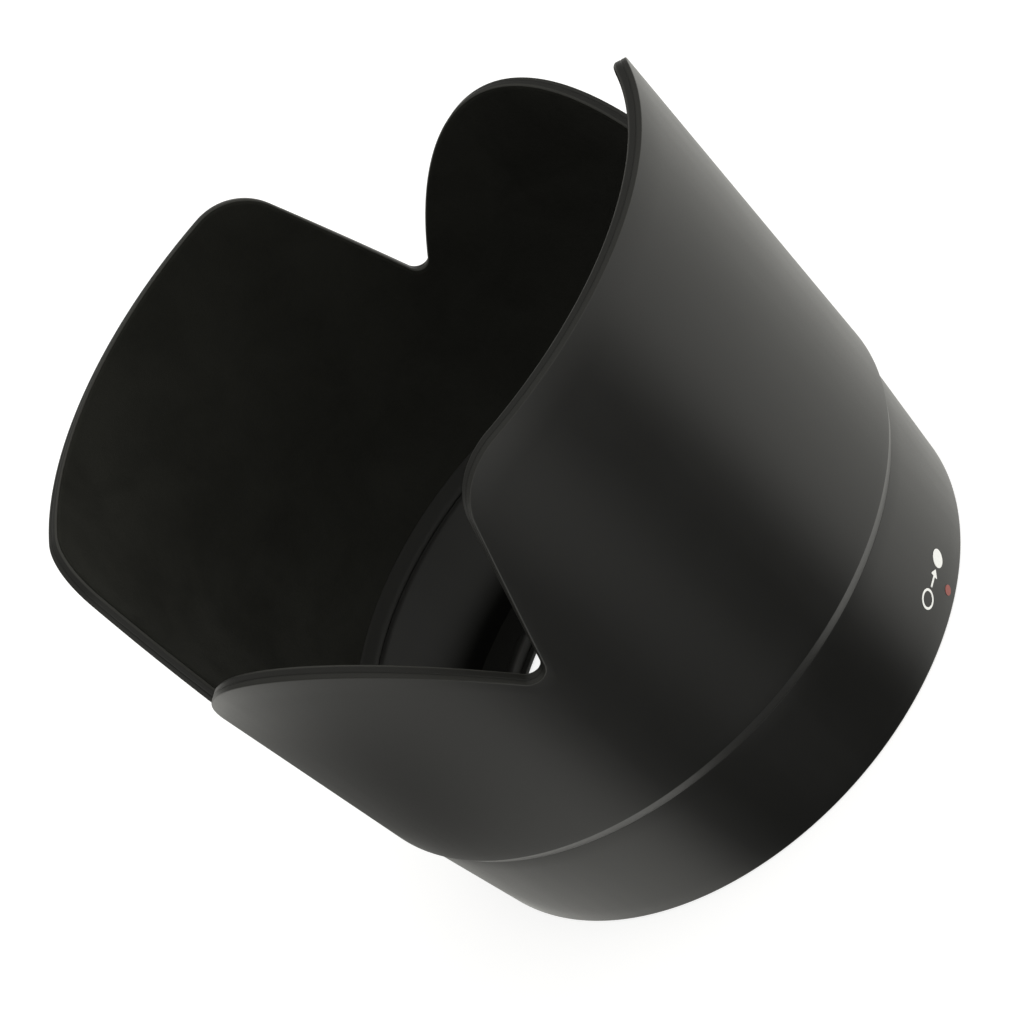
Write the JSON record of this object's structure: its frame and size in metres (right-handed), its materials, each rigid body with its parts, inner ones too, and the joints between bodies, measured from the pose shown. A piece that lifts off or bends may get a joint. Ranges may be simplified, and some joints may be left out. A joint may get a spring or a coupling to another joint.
{
  "type": "lens hood",
  "caption": "Petal-shaped lens hood: flocked, flared bell on a narrower rear sleeve, with an inner bayonet ring and sprung click stops.",
  "frame": {"origin": "centre of the rear (lens side) face, on the hood's axis", "axes": "+Z along the optical axis from the rear face to the petal tips; the index dot faces -Y, the long petals are at -Y and +Y and the short ones at +X and -X"},
  "size_m": [0.1066, 0.1076, 0.0863],
  "materials": {
    "shell_plastic": "satin black moulded plastic with a very fine texture",
    "sleeve_plastic": "satin black moulded plastic",
    "ring_plastic": "plain black moulded plastic",
    "flock": "dense matte black flock",
    "screw_steel": "black oxide steel",
    "spring_steel": "bright spring steel",
    "red_paint": "red filled index dot",
    "white_print": "white pad print"
  },
  "bodies": {
    "hood": {"petal_bell": "shell_plastic", "flock_lining": "flock", "mount_sleeve": "sleeve_plastic", "bayonet_ring": "ring_plastic", "ring_screw_1": "screw_steel", "ring_screw_2": "screw_steel", "ring_screw_3": "screw_steel", "index_dot": "red_paint", "open_ring_mark": "white_print", "turn_arrow_mark": "white_print", "locked_disc_mark": "white_print"},
    "click_leaf_1": {"click_spring_1": "spring_steel"},
    "click_leaf_2": {"click_spring_2": "spring_steel"}
  },
  "joints": [
    {"name": "click_spring_1_flex", "type": "hinge", "parent": "hood", "child": "click_leaf_1", "pos_m": [0.02803, 0.02865, 0.0023], "axis": [0, 0, 1], "range_deg": [0, 3], "stiffness_Nm_per_rad": 0.004},
    {"name": "click_spring_2_flex", "type": "hinge", "parent": "hood", "child": "click_leaf_2", "pos_m": [-0.03883, 0.00995, 0.0023], "axis": [0, 0, 1], "range_deg": [0, 3], "stiffness_Nm_per_rad": 0.004}
  ]
}
